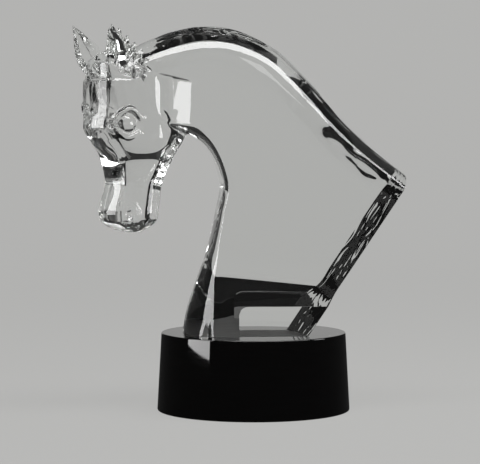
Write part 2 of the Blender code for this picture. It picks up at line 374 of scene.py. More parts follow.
def smooth_step(value, low, high):
    """0 below low, 1 above high and a smooth rise between. With low above high it falls instead."""
    t = np.clip((value - low) / (high - low), 0, 1)
    return t * t * (3 - 2 * t)


def lumps(x, y, z, size, seed):
    """Smooth seeded noise from -1 to 1, its lumps about as large as size says along each axis."""
    lattice = np.random.default_rng(seed).uniform(-1, 1, (LATTICE, LATTICE, LATTICE)).astype(np.float32)
    places = [np.asarray(value, np.float32) / step for value, step in zip((x, y, z), size)]
    cells = [np.floor(place).astype(int) for place in places]
    shares = [smooth_step(place - cell, 0, 1) for place, cell in zip(places, cells)]
    total = 0
    for corner in np.ndindex(2, 2, 2):
        weight = 1
        for share, high in zip(shares, corner):
            weight = weight * (share if high else 1 - share)
        total = total + weight * lattice[tuple((cell + high) % LATTICE for cell, high in zip(cells, corner))]
    return total


def hex_colour(code):
    """Linear RGBA of an sRGB hex colour."""
    parts = [int(code[i : i + 2], 16) / 255 for i in (1, 3, 5)]
    return (*(c / 12.92 if c <= 0.04045 else ((c + 0.055) / 1.055) ** 2.4 for c in parts), 1.0)


def add_node(tree, kind, settings=(), inputs=()):
    """Adds a node with its settings and its inputs, each given as a value or as the socket linked to it."""
    made = tree.nodes.new(kind)
    for name, value in dict(settings).items():
        setattr(made, name, value)
    for target, value in dict(inputs).items():
        if isinstance(value, bpy.types.NodeSocket):
            tree.links.new(value, made.inputs[target])
        else:
            made.inputs[target].default_value = value
    return made


def new_material(name):
    """An empty material and its node tree."""
    made = bpy.data.materials.new(name)
    made.use_nodes = True
    made.node_tree.nodes.clear()
    return made, made.node_tree


def object_from(name, points, faces):
    """An object in the scene from points in millimetres."""
    mesh = bpy.data.meshes.new(name)
    mesh.from_pydata((np.asarray(points, float) * MM).tolist(), [], [list(face) for face in faces])
    made = bpy.data.objects.new(name, mesh)
    bpy.context.scene.collection.objects.link(made)
    return made


def evaluated_mesh(made):
    """The object's mesh with its modifiers applied."""
    bpy.context.view_layer.update()
    return bpy.data.meshes.new_from_object(made.evaluated_get(bpy.context.evaluated_depsgraph_get()))


# ---------------------------------------------------------------- level-set clay


def ring_skin(rings):
    """Points and triangles of a closed skin over a row of rings."""
    rows, columns, _ = np.shape(rings)
    index = np.arange(rows * columns).reshape(rows, columns)
    a, b = index[:-1], index[1:]
    a1, b1 = np.roll(a, -1, axis=1), np.roll(b, -1, axis=1)
    walls = np.concatenate([
        np.stack([a, a1, b1], -1).reshape(-1, 3),
        np.stack([a, b1, b], -1).reshape(-1, 3),
    ])
    centres = [np.mean(rings[0], axis=0), np.mean(rings[-1], axis=0)]
    hub = np.full(columns, rows * columns)
    caps = np.concatenate([
        np.stack([hub, np.roll(index[0], -1), index[0]], -1),
        np.stack([hub + 1, index[-1], np.roll(index[-1], -1)], -1),
    ])
    points = np.concatenate([np.reshape(rings, (-1, 3)), centres])
    return points, np.concatenate([walls, caps])


class Clay:
    """A solid held as signed distances on a grid, in millimetres and in the frame of the object."""

    def __init__(self, low, high, voxel, band):
        self.voxel = voxel
        self.reach = band * voxel
        self.band = band
        self.first = np.floor(np.array(low) / voxel).astype(int)
        self.shape = tuple(np.ceil(np.array(high) / voxel).astype(int) - self.first)
        self.values = np.full(self.shape, self.reach, np.float32)

    def distances(self, rings):
        """Signed distances to a skin, cut off at the band's width."""
        points, triangles = ring_skin(rings)
        grid = openvdb.FloatGrid.createLevelSetFromPolygons(
            points.astype(np.float32),
            triangles=triangles.astype(np.uint32),
            transform=openvdb.createLinearTransform(voxelSize=self.voxel),
            halfWidth=self.band,
        )
        found = np.empty(self.shape, np.float32)
        grid.copyToArray(found, ijk=tuple(int(i) for i in self.first))
        return found

    def part(self, low, high):
        """Slices of a box, and the coordinates of its grid points."""
        start = np.clip(np.floor(np.array(low) / self.voxel).astype(int) - self.first, 0, self.shape)
        stop = np.clip(np.ceil(np.array(high) / self.voxel).astype(int) - self.first, 0, self.shape)
        cut = tuple(slice(a, b) for a, b in zip(start, stop))
        axes = [(np.arange(a, b) + f) * self.voxel for a, b, f in zip(start, stop, self.first)]
        return cut, np.meshgrid(*axes, indexing="ij")

    def around(self, place, reach):
        """Slices and head-frame coordinates of a cube around a place of the head's frame."""
        middle = from_head(place)
        cut, (x, y, z) = self.part(middle - reach, middle + reach)
        return cut, (*into_head(x, y), z)

    def join(self, place, reach, shape, round_over):
        """Melts a shape of the head's frame onto the clay."""
        cut, grid = self.around(place, reach)
        self.values[cut] = melt(self.values[cut], shape(*grid), round_over)

    def carve(self, place, reach, shape, round_over):
        """Takes a shape of the head's frame out of the clay."""
        cut, grid = self.around(place, reach)
        self.values[cut] = -melt(-self.values[cut], shape(*grid), round_over)


def melt(a, b, round_over):
    """Union of two fields, its inner corner rounded."""
    share = np.clip(0.5 + 0.5 * (b - a) / round_over, 0, 1)
    return b + (a - b) * share - round_over * share * (1 - share)


def ball(place, radii):
    """About the distance to an ellipsoid."""

    def field(x, y, z):
        near = np.sqrt(sum(((v - c) / r) ** 2 for v, c, r in zip((x, y, z), place, radii)))
        steep = np.sqrt(sum(((v - c) / r**2) ** 2 for v, c, r in zip((x, y, z), place, radii)))
        return near * (near - 1) / np.maximum(steep, TINY)

    return field


def rod(places, radius):
    """Distance to a bent rod that passes through some places."""
    line = through(places, ROD_STEPS * len(places))

    def field(x, y, z):
        nearest = None
        for start, end in zip(line, line[1:]):
            run = end - start
            offset = [v - s for v, s in zip((x, y, z), start)]
            share = np.clip(sum(o * r for o, r in zip(offset, run)) / (run @ run), 0, 1)
            gap = sum((o - share * r) ** 2 for o, r in zip(offset, run))
            nearest = gap if nearest is None else np.minimum(nearest, gap)
        return np.sqrt(nearest) - radius

    return field


# ---------------------------------------------------------------- main masses


def from_head(places):
    """Places of the head's frame in the object's frame."""
    turn = math.radians(180 + HEAD_TURN)
    x, y, z = np.moveaxis(np.asarray(places, float), -1, 0)
    return np.stack(
        [
            HEAD_PIVOT[0] + x * math.cos(turn) - y * math.sin(turn),
            HEAD_PIVOT[1] + x * math.sin(turn) + y * math.cos(turn),
            z,
        ],
        axis=-1,
    )


def into_head(x, y):
    """Forward and side coordinates in the head's frame."""
    turn = math.radians(180 + HEAD_TURN)
    x = x - HEAD_PIVOT[0]
    y = y - HEAD_PIVOT[1]
    return x * math.cos(turn) + y * math.sin(turn), y * math.cos(turn) - x * math.sin(turn)


def neck_rings():
    """Each section has a short round on the throat side, flat sides and a full round on the mane side."""
    rows, columns = NECK_RINGS
    arc = np.linspace(-math.pi / 2, math.pi / 2, columns // 2)
    rings = []
    for section in through(NECK_SECTIONS, rows):
        throat_x, throat_z, mane_x, mane_z, half, front_round, mane_round, lean = section
        span = math.hypot(mane_x - throat_x, mane_z - throat_z)
        front = front_round / span * (1 - np.cos(arc))
        far_round = min(FAR_MANE_ROUND, FAR_MANE_SHARE * span)
        back = 1 - np.where(arc > 0, far_round, mane_round) / span * (1 - np.cos(arc))
        along = np.concatenate([front, back[::-1]])
        y = half * np.sin(np.concatenate([arc, arc[::-1]])) - lean
        x = throat_x + (mane_x - throat_x) * along
        z = throat_z + (mane_z - throat_z) * along
        rings.append(np.stack([x, y, z], axis=1))
    return np.array(rings)


def section_outline(half, columns):
    """A whole section from half of it, as evenly spaced shares of the half depth and the half width."""
    outline = np.concatenate([half, half[-2:0:-1] * (1, -1), half[:1]])
    run = np.concatenate([[0], np.cumsum(np.hypot(*np.diff(outline, axis=0).T))])
    at = np.linspace(0, run[-1], columns, endpoint=False)
    return np.stack([np.interp(at, run, outline[:, axis]) for axis in (0, 1)], axis=1)


def head_rings():
    """The forehead keeps its bevels, and below the eyes the section turns into the nose's."""
    rows, columns = HEAD_RINGS
    brow = section_outline(np.array(HEAD_OUTLINE), columns)
    nose = section_outline(through(NOSE_OUTLINE, columns), columns)
    rings = []
    for height, centre, depth, width in through(HEAD_SECTIONS, rows):
        share = smooth_step(height, NOSE_BELOW, FOREHEAD_ABOVE)
        c, s = (share * brow + (1 - share) * nose).T
        rings.append(np.stack([centre + depth * c, width * s, np.full_like(s, height)], axis=1))
    return from_head(rings)


# ---------------------------------------------------------------- details pressed into the hot crystal


def on_side(place, side):
    """A place of the near side (1), or its mirror image on the far side (-1)."""
    forward, across, height = place
    return forward, side * across, height


def carve_eye(clay, side):
    """A socket with a ball in it, two lids and a shallow dish under the eye."""
    socket = on_side(EYE_SOCKET[0], side)
    clay.carve(socket, EYE_REACH, ball(socket, EYE_SOCKET[1]), SOCKET_ROUND)
    clay.join(socket, EYE_REACH, ball(on_side(EYE_BALL[0], side), EYE_BALL[1]), BALL_ROUND)
    for places, radius in EYE_LIDS:
        lid = rod([on_side(place, side) for place in places], radius)
        clay.join(socket, EYE_REACH, lid, LID_ROUND)
    clay.carve(socket, EYE_REACH, ball(on_side(EYE_DISH[0], side), EYE_DISH[1]), LID_ROUND)


def raise_far_brow(clay):
    """The far brow stands proud of the face's edge."""
    clay.join(FAR_BROW[0], BROW_REACH, ball(*FAR_BROW), LID_ROUND)


def carve_nostril(clay, side):
    """A small oval hollow inside two raised rings."""
    centre = on_side(NOSTRIL_CENTRE, side)
    ring_reach, hollow_reach = NOSTRIL_REACH
    cut, (x, y, z) = clay.around(centre, ring_reach)
    out = np.hypot((x - centre[0]) / NOSTRIL_NARROWING, z - centre[2])
    here = smooth_step(side * y, *NOSTRIL_FADE)
    for radius, height, width in NOSTRIL_RINGS:
        clay.values[cut] -= height * here * np.exp(-(((out - radius) / width) ** 2))
    hollow = ball(on_side(NOSTRIL_HOLLOW[0], side), NOSTRIL_HOLLOW[1])
    clay.carve(centre, hollow_reach, hollow, NOSTRIL_ROUND)


def carve_mouth(clay):
    """A slit between the lips on each side, and a rough patch where the near lips were pinched."""
    for side in (1, -1):
        slit = rod([on_side(place, side) for place in MOUTH_LINE], MOUTH_RADIUS)
        clay.carve(on_side(MOUTH_CENTRE, side), MOUTH_REACH, slit, MOUTH_ROUND)
    cut, (x, y, z) = clay.around(LIPS_CENTRE, LIPS_REACH)
    where = smooth_step(z, *LIPS_BELOW[::-1]) * smooth_step(x, *LIPS_BEHIND[::-1])
    clay.values[cut] += LIPS_DEPTH * where * lumps(x, y, z, LIPS_SIZE, SEED)


def step_forehead(clay):
    """The crown stands back from the face by a small step."""
    cut, (x, _, z) = clay.around(CROWN_CENTRE, CROWN_REACH)
    clay.values[cut] += CROWN_STEP * smooth_step(z, *CROWN_ABOVE) * smooth_step(x, *CROWN_FRONT)


def along_mane(x, z):
    """How far each place of the neck's plane lies along the mane, and how far from it."""
    line = through(NECK_SECTIONS, MANE_PLACES)[:, 2:4]
    run = np.concatenate([[0], np.cumsum(np.hypot(*np.diff(line, axis=0).T))])
    gap = np.full(x.shape, np.inf)
    along = np.zeros(x.shape)
    for (line_x, line_z), length in zip(line, run):
        here = np.hypot(x - line_x, z - line_z)
        along = np.where(here < gap, length, along)
        gap = np.minimum(gap, here)
    return along[:, None, :], gap[:, None, :]


def mark_mane(clay, mark_depth, groove_depth):
    """Marks of the tools that drew the mane, all along its top, and grooves down its far side."""
    cut, (x, y, z) = clay.part(MANE_LOW, WORK_HIGH)
    values = clay.values[cut]
    along, gap = along_mane(x[:, 0, :], z[:, 0, :])
    where = smooth_step(gap, *MARK_REACH[::-1]) * smooth_step(np.abs(values), *MARKED_SKIN[::-1])
    where = where * smooth_step(along, *MARK_START) * smooth_step(along, *MARK_END[::-1])
    marks = mark_depth * smooth_step(y, *MARK_SIDE) * (1 + lumps(along, y, gap, MARK_SIZE, SEED))
    far = smooth_step(y, *GROOVE_SIDE) * smooth_step(along, *GROOVE_END[::-1])
    grooves = groove_depth * far * lumps(along, y, gap, GROOVE_SIZE, SEED + 1)
    clay.values[cut] = values + where * (marks + grooves)


def press_cheeks(neck, grid):
    """Takes the neck away in front of both cheek planes."""
    x, y, z = grid
    _, side = into_head(x, y)
    above = z - np.interp(x, *zip(*CREASE))
    slope = np.radians(NEAR_SLOPE + NEAR_TWIST * (z - CREASE[-1][1]))
    near = (x - NEAR_SLOPE_X) * np.sin(slope) + (y + NECK_HALF) * np.cos(slope)
    for cheek, behind in ((CHEEK_HALF - side, near), (CHEEK_HALF + side, x - FAR_SLOPE_X)):
        kept = -melt(-behind, -above, CREASE_ROUND)
        pressed = -melt(-kept, -cheek, CHEEK_ROUND)
        neck = -melt(-neck, pressed, CREASE_ROUND)
    return neck


def worked_crystal(settings):
    """The neck and the head melted together, with every detail pressed into them."""
    clay = Clay(WORK_LOW, WORK_HIGH, settings.skin_step / MM, BAND_STEPS)
    neck = clay.distances(neck_rings())
    cut, grid = clay.part(WORK_LOW, (PRESSED_TO_X, *WORK_HIGH[1:]))
    neck[cut] = press_cheeks(neck[cut], grid)
    clay.values = melt(neck, clay.distances(head_rings()), HEAD_ROUND)
    mark_mane(clay, settings.mark_depth / MM, settings.groove_depth / MM)
    for side in (1, -1):
        carve_eye(clay, side)
        carve_nostril(clay, side)
    raise_far_brow(clay)
    carve_mouth(clay)
    step_forehead(clay)
    clay.values = soften(clay.values)
    return clay


def soften(values):
    """One light smoothing pass over the field."""
    for axis in range(3):
        spread = [(1, 1) if each == axis else (0, 0) for each in range(3)]
        wide = np.moveaxis(np.pad(values, spread, mode="edge"), axis, 0)
        values = np.moveaxis(0.5 * wide[1:-1] + 0.25 * (wide[:-2] + wide[2:]), 0, axis)
    return np.ascontiguousarray(values)


class Sampler:
    """Reads the field and its slope between the grid's points."""

    def __init__(self, clay):
        self.clay = clay
        self.slopes = np.gradient(clay.values, clay.voxel)

    def at(self, points):
        """The field and its slope at some points."""
        places = points / self.clay.voxel - self.clay.first
        base = np.clip(np.floor(places).astype(int), 0, np.array(self.clay.shape) - 2)
        part = places - base
        value = np.zeros(len(points))
        slope = np.zeros((len(points), 3))
        for corner in np.ndindex(2, 2, 2):
            index = tuple((base + corner).T)
            share = np.prod(np.where(corner, part, 1 - part), axis=1)
            value += self.clay.values[index] * share
            for axis in range(3):
                slope[:, axis] += self.slopes[axis][index] * share
        return value, slope


def skin_of(clay, sampler):
    """The clay's surface, with larger faces where it is flat, its points drawn onto the surface."""
    grid = openvdb.FloatGrid(clay.reach)
    grid.transform = openvdb.createLinearTransform(voxelSize=clay.voxel)
    grid.copyFromArray(clay.values, ijk=tuple(int(i) for i in clay.first), tolerance=0.0)
    points, triangles, quads = grid.convertToPolygons(isovalue=0.0, adaptivity=SKIN_THRIFT)
    points = points.astype(float)
    for _ in range(SKIN_PASSES):
        value, slope = sampler.at(points)
        points -= slope * (value / np.maximum((slope**2).sum(1), SKIN_LEAST_SLOPE**2))[:, None]
    return points, [*triangles.tolist(), *quads.tolist()]


# ---------------------------------------------------------------- pieces welded on and cut away


def ear(side):
    """A pointed leaf with a hollow front, sharp rims and a ridge down its back."""
    root, tip = Vector(EAR_ROOTS[side]), Vector(EAR_TIPS[side])
    along = (tip - root).normalized()
    turn = math.radians(EAR_TURNS[side])
    front = Vector((math.cos(turn), -side * math.sin(turn), 0))
    front = (front - front.dot(along) * along).normalized()
    across = along.cross(front)
    chisel = np.random.default_rng(SEED + side)
    rings = []
    for share, width in through(EAR_SECTIONS, EAR_RINGS):
        centre = root.lerp(tip, share) - front * EAR_BOW * math.sin(math.pi * share)
        ring = np.array([centre + across * (width * a) + front * (width * b) for a, b in EAR_OUTLINE])
        rings.append(ring + chisel.uniform(-1, 1, ring.shape) * EAR_ROUGHNESS[side] * width)
    return object_from(f"ear_{side}", *ring_skin(from_head(rings)))


def lock(number, root, tip, width):
    """A chiselled shard with flat sides, widest a third of the way up."""
    root, tip = Vector(root), Vector(tip)
    along = (tip - root).normalized()
    across = along.cross(Vector((0, 1, 0))).normalized()
    out = along.cross(across)
    turns = np.linspace(0, 2 * math.pi, LOCK_SIDES, endpoint=False)
    rings = []
    for row, (share, size) in enumerate(LOCK_SECTIONS):
        centre = np.array(root.lerp(tip, share))
        turn = turns[:, None] + LOCK_TWIST * row + number
        ring = np.cos(turn) * np.array(across) + LOCK_FLATNESS * np.sin(turn) * np.array(out)
        rings.append(centre + width * size * ring)
    return object_from(f"lock_{number}", *ring_skin(from_head(rings)))


def block(name, low, high):
    """A box as an object, for cutting with."""
    corners = [(x, y, z) for x in (low[0], high[0]) for y in (low[1], high[1]) for z in (low[2], high[2])]
    sides = ((0, 1, 3, 2), (4, 6, 7, 5), (0, 4, 5, 1), (2, 3, 7, 6), (0, 2, 6, 4), (1, 5, 7, 3))
    return object_from(name, corners, sides)


def cut_plane(settings):
    """A place on the saw cut over the neck's middle, its outward normal, and its lean and slant."""
    slant = settings.cut_slant
    foot_x = CUT_FOOT_X - settings.foot_width / MM / 2 * math.tan(slant)
    lean = math.atan2(WITHERS_X - foot_x, WITHERS_Z - FOOT_LEVEL)
    normal = np.array([math.cos(lean) * math.cos(slant), math.cos(lean) * math.sin(slant), -math.sin(lean)])
    return np.array([foot_x, 0, FOOT_LEVEL]), normal, lean, slant


def saw_block(settings):
    """A block whose one face is the plane from the withers' tip down to the drum."""
    cutter = block("saw_block", (0, -CUTTER_REACH, -CUTTER_REACH), (CUTTER_REACH,) * 3)
    place, _, lean, slant = cut_plane(settings)
    cutter.location = Vector(place) * MM
    cutter.rotation_euler = (0, lean, slant)
    return cutter


def flat_block(settings, side):
    """A slab with a rounded upper front corner, beyond one flat of the foot."""
    corner = [
        (FLAT_FRONT_X + FLAT_CORNER * (1 - math.cos(a)), FLAT_TOP - FLAT_CORNER * (1 - math.sin(a)))
        for a in np.linspace(0, math.pi / 2, FLAT_CORNER_POINTS)
    ]
    outline = [(FLAT_FRONT_X, 0), *corner, (CUTTER_REACH, FLAT_TOP), (CUTTER_REACH, 0)]
    count = len(outline)
    sides = (settings.foot_width / MM / 2, CUTTER_REACH)
    points = [(x, side * y, z) for y in sides for x, z in outline]
    walls = [(i, (i + 1) % count, count + (i + 1) % count, count + i) for i in range(count)]
    caps = [tuple(range(count))[::-1], tuple(range(count, 2 * count))]
    return object_from(f"flat_block_{side}", points, [*walls, *caps])


def under_block():
    """A block whose top face levels the foot."""
    reach = CUTTER_REACH
    return block("under_block", (-reach, -reach, -reach), (reach, reach, FOOT_LEVEL))


def fix_winding(made):
    """Makes a closed mesh's faces point outwards."""
    bm = bmesh.new()
    bm.from_mesh(made.data)
    bmesh.ops.recalc_face_normals(bm, faces=bm.faces)
    bm.to_mesh(made.data)
    bm.free()


def combine(body, others, operation):
    """Joins the other objects to the body, or cuts them out of it, and removes them."""
    for other in others:
        fix_winding(other)
        step = body.modifiers.new(other.name, "BOOLEAN")
        step.operation = operation
        step.solver = "MANIFOLD"
        step.object = other
    finished = evaluated_mesh(body)
    body.modifiers.clear()
    body.data = finished
    for other in others:
        bpy.data.objects.remove(other)


def split_bodies(bm):
    """The points of each connected body, the largest body last."""
    left = set(bm.verts)
    bodies = []
    while left:
        front = [left.pop()]
        body = list(front)
        while front:
            point = front.pop()
            found = {edge.other_vert(point) for edge in point.link_edges} & left
            left -= found
            front.extend(found)
            body.extend(found)
        bodies.append(body)
    return sorted(bodies, key=len)


def drop_scraps(mesh):
    """Takes away the flaps without thickness and the loose slivers that the joining and cutting left."""
    bm = bmesh.new()
    bm.from_mesh(mesh)
    bmesh.ops.triangulate(bm, faces=bm.faces)
    by_place = {}
    for face in bm.faces:
        by_place.setdefault(frozenset(point.co.to_tuple() for point in face.verts), []).append(face)
    flaps = [face for faces in by_place.values() if len(faces) > 1 for face in faces]
    rims = {point for face in flaps for point in face.verts}
    bmesh.ops.delete(bm, geom=flaps, context="FACES")
    bmesh.ops.remove_doubles(bm, verts=[point for point in rims if point.is_valid], dist=SEAM_WIDTH)
    scraps = [point for body in split_bodies(bm)[:-1] for point in body]
    bmesh.ops.delete(bm, geom=scraps, context="VERTS")
    bm.to_mesh(mesh)
    bm.free()


def read(items, name, width, kind=np.float32):
    """One property of every item of a mesh, as rows."""
    found = np.empty(len(items) * width, kind)
    items.foreach_get(name, found)
    return found.reshape(-1, width) if width > 1 else found


def flat_cuts(mesh, settings):
    """Which faces lie on the saw cut, on the ground flats and on the underside."""
    normals = read(mesh.polygons, "normal", 3)
    centres = read(mesh.polygons, "center", 3) / MM
    place, normal, _, _ = cut_plane(settings)
    off_cut = np.abs((centres - place) @ normal)
    sawn = (normals @ normal > CUT_ALIGNMENT) & (off_cut < CUT_NEARNESS)
    off_flat = np.abs(np.abs(centres[:, 1]) - settings.foot_width / MM / 2)
    ground = (np.abs(normals[:, 1]) > CUT_ALIGNMENT) & (off_flat < CUT_NEARNESS) & (centres[:, 2] < FLAT_TOP)
    under = (normals[:, 2] < -CUT_ALIGNMENT) & (centres[:, 2] < FOOT_LEVEL + CUT_NEARNESS)
    return sawn, ground, under


def polish(mesh, sampler, flat):
    """Sets each corner's normal: the face's own on the flat cuts, the clay's on its skin, and a crisp one on
    the welded pieces."""
    points = read(mesh.vertices, "co", 3).astype(float) / MM
    corner_points = read(mesh.loops, "vertex_index", 1, np.int32)
    corner_faces = np.repeat(np.arange(len(mesh.polygons)), read(mesh.polygons, "loop_total", 1, np.int32))
    value, slope = sampler.at(points)
    slope /= np.maximum(np.linalg.norm(slope, axis=1), TINY)[:, None]
    welded = np.zeros(len(mesh.polygons), bool)
    welded[corner_faces[np.abs(value[corner_points]) > WELDED_OFF_SKIN]] = True
    mesh.shade_smooth()
    mesh.set_sharp_from_angle(angle=math.radians(CRISP_ANGLE))
    crisp = read(mesh.corner_normals, "vector", 3)
    normals = np.where(welded[corner_faces][:, None], crisp, slope[corner_points])
    normals = np.where(flat[corner_faces][:, None], read(mesh.polygons, "normal", 3)[corner_faces], normals)
    mesh.normals_split_custom_set(normals.tolist())


def crystal_piece(settings):
    """The whole crystal: worked, its ears and forelock welded on, and its foot and its back cut flat."""
    clay = worked_crystal(settings)
    sampler = Sampler(clay)
    body = object_from("crystal_horse_head", *skin_of(clay, sampler))
    locks = [lock(number, *shape) for number, shape in enumerate(FORELOCKS)]
    combine(body, [ear(1), ear(-1), *locks], "UNION")
    cuts = [under_block(), flat_block(settings, 1), flat_block(settings, -1), saw_block(settings)]
    combine(body, cuts, "DIFFERENCE")
    drop_scraps(body.data)
    sawn, ground, under = flat_cuts(body.data, settings)
    polish(body.data, sampler, sawn | ground | under)
    body.data.materials.clear()
    body.data.materials.append(fire_polished_crystal(settings.tint))
    body.data.materials.append(sheared_crystal(settings.sheared_tint))
    body.data.materials.append(black_adhesive(settings.adhesive_colour))
    body.data.polygons.foreach_set("material_index", sawn.astype(np.int32) + 2 * under)
    return body


# ---------------------------------------------------------------- the turned drum


def turned_drum_tree():
    """Geometry nodes that turn a profile, its foot and top edges rounded, round the upright axis."""
    tree = bpy.data.node_groups.new("turned_drum", "GeometryNodeTree")
    for name in ("Height", "Foot Radius", "Top Radius", "Edge"):
        tree.interface.new_socket(name, in_out="INPUT", socket_type="NodeSocketFloat").subtype = "DISTANCE"
    tree.interface.new_socket("Sides", in_out="INPUT", socket_type="NodeSocketInt")
    tree.interface.new_socket("Material", in_out="INPUT", socket_type="NodeSocketMaterial")
    tree.interface.new_socket("Drum", in_out="OUTPUT", socket_type="NodeSocketGeometry")
    given = tree.nodes.new("NodeGroupInput").outputs
    index = add_node(tree, "GeometryNodeInputIndex").outputs["Index"]

    # The profile runs from the axis out to the foot's edge, up the wall to the top's edge, and back.
    radius, height = (
        add_node(tree, "GeometryNodeIndexSwitch", {"data_type": "FLOAT"}, {"Index": index}) for _ in range(2)
    )
    for switch in (radius, height):
        switch.index_switch_items.new()
        switch.index_switch_items.new()
    tree.links.new(given["Foot Radius"], radius.inputs["1"])
    tree.links.new(given["Top Radius"], radius.inputs["2"])
    tree.links.new(given["Height"], height.inputs["2"])
    tree.links.new(given["Height"], height.inputs["3"])
    corners = {"X": radius.outputs["Output"], "Y": height.outputs["Output"]}
    place = add_node(tree, "ShaderNodeCombineXYZ", inputs=corners).outputs["Vector"]
    line = add_node(tree, "GeometryNodeMeshLine", inputs={"Count": 4}).outputs["Mesh"]
    profile = add_node(tree, "GeometryNodeMeshToCurve", inputs={"Mesh": line}).outputs["Curve"]
    profile = add_node(tree, "GeometryNodeSetPosition", inputs={"Geometry": profile, "Position": place})
    fillet = {"Curve": profile.outputs["Geometry"], "Count": DRUM_EDGE_STEPS, "Radius": given["Edge"]}
    profile = add_node(tree, "GeometryNodeFilletCurve", {"mode": "POLY"}, fillet).outputs["Curve"]

    # A sweep round a hair-thin circle turns it, and the points on the axis merge into one at each pole.
    circle = {"Resolution": given["Sides"], "Radius": DRUM_AXIS_RADIUS}
    axis = add_node(tree, "GeometryNodeCurvePrimitiveCircle", inputs=circle).outputs["Curve"]
    sweep = {"Curve": axis, "Profile Curve": profile}
    skin = add_node(tree, "GeometryNodeCurveToMesh", inputs=sweep).outputs["Mesh"]
    merge = {"Geometry": skin, "Distance": 3 * DRUM_AXIS_RADIUS}
    skin = add_node(tree, "GeometryNodeMergeByDistance", inputs=merge).outputs["Geometry"]
    upright = {"Geometry": skin, "Rotation": (math.pi, 0, 0)}
    skin = add_node(tree, "GeometryNodeTransform", inputs=upright).outputs["Geometry"]
    skin = add_node(tree, "GeometryNodeSetShadeSmooth", inputs={"Geometry": skin}).outputs["Geometry"]
    skin = add_node(tree, "GeometryNodeRealizeInstances", inputs={"Geometry": skin}).outputs["Geometry"]
    skin = add_node(tree, "GeometryNodeSetMaterial", inputs={"Geometry": skin, "Material": given["Material"]})
    add_node(tree, "NodeGroupOutput", inputs={"Drum": skin.outputs["Geometry"]})
    return tree


def drum_piece(settings):
    """The drum, turned by its node tree, with the shading of its walls kept flat beside the rounded edges."""
    tree = turned_drum_tree()
    drum = object_from("black_glass_drum", [], [])
    turned = drum.modifiers.new("turned", "NODES")
    turned.node_group = tree
    sizes = {
        "Height": settings.height,
        "Foot Radius": settings.foot_radius,
        "Top Radius": settings.foot_radius - settings.taper,
        "Edge": settings.edge,
        "Sides": settings.sides,
        "Material": polished_black_glass(settings.colour, settings.bloom_colour),
    }
    for socket in tree.interface.items_tree:
        if socket.in_out == "INPUT":
            turned[socket.identifier] = sizes[socket.name]
    weighted = drum.modifiers.new("weighted", "WEIGHTED_NORMAL")
    weighted.mode = "FACE_AREA"
    finished = evaluated_mesh(drum)
    drum.modifiers.clear()
    drum.data = finished
    return drum


# ---------------------------------------------------------------- materials


def clear_glass(tree, tint, normal):
    """Clear lead-free crystal with a glossy skin."""
    inputs = {
        "Base Color": tint,
        "Roughness": 0.0,
        "IOR": CRYSTAL_IOR,
        "Transmission Weight": 1.0,
        "Normal": normal,
    }
    shader = add_node(tree, "ShaderNodeBsdfPrincipled", inputs=inputs)
    add_node(tree, "ShaderNodeOutputMaterial", inputs={"Surface": shader.outputs["BSDF"]})


def fire_polished_crystal(tint):
    """Lead-free crystal worked hot, its skin left as the fire polished it."""
    # The skin flowed before it set, so it is clear and glossy, with waves about as long as a finger that bend
    # what shows through it.
    crystal, tree = new_material("fire_polished_crystal")
    place = add_node(tree, "ShaderNodeTexCoord").outputs["Object"]
    pattern = {"Vector": place, "Scale": 1 / (60 * MM), "Detail": 1.0}
    waves = add_node(tree, "ShaderNodeTexNoise", inputs=pattern)
    relief = {"Height": waves.outputs["Fac"], "Strength": 0.25, "Distance": 0.4 * MM}
    bump = add_node(tree, "ShaderNodeBump", inputs=relief)
    clear_glass(tree, tint, bump.outputs["Normal"])
    return crystal


def sheared_crystal(tint):
    """The same crystal where it was cut off hot with shears."""
    # The blades left folds and swirls a few fingers wide, so the cut glitters light and dark.
    crystal, tree = new_material("sheared_crystal")
    place = add_node(tree, "ShaderNodeTexCoord").outputs["Object"]
    pattern = {"Vector": place, "Scale": 1 / (42 * MM), "Detail": 1.0, "Distortion": 1.5}
    swirls = add_node(tree, "ShaderNodeTexNoise", inputs=pattern)
    relief = {"Height": swirls.outputs["Fac"], "Strength": 0.35, "Distance": 4 * MM}
    bump = add_node(tree, "ShaderNodeBump", inputs=relief)
    clear_glass(tree, tint, bump.outputs["Normal"])
    return crystal


def black_adhesive(colour):
    """Black adhesive between the foot and the drum, spread thin."""
    # It wets the polished foot, so no mirror shows from inside: a soft black, faintly streaked along the
    # neck, with a streak every few millimetres where it was spread.
    adhesive, tree = new_material("black_adhesive")
    place = add_node(tree, "ShaderNodeTexCoord").outputs["Object"]
    streaks = add_node(tree, "ShaderNodeMapping", inputs={"Vector": place, "Scale": (1, 6, 1)})
    pattern = {"Vector": streaks.outputs["Vector"], "Scale": 1 / (20 * MM), "Detail": 3.0}
    spread = add_node(tree, "ShaderNodeTexNoise", inputs=pattern)
    bump = {"Height": spread.outputs["Fac"], "Strength": 0.3, "Distance": 0.2 * MM}
    bump = add_node(tree, "ShaderNodeBump", inputs=bump)
    rough = {"Value": spread.outputs["Fac"], "To Min": 0.3, "To Max": 0.5}
    rough = add_node(tree, "ShaderNodeMapRange", inputs=rough)
    inputs = {"Base Color": colour, "Roughness": rough.outputs["Result"], "Normal": bump.outputs["Normal"]}
    shader = add_node(tree, "ShaderNodeBsdfPrincipled", inputs=inputs)
    add_node(tree, "ShaderNodeOutputMaterial", inputs={"Surface": shader.outputs["BSDF"]})
    return adhesive


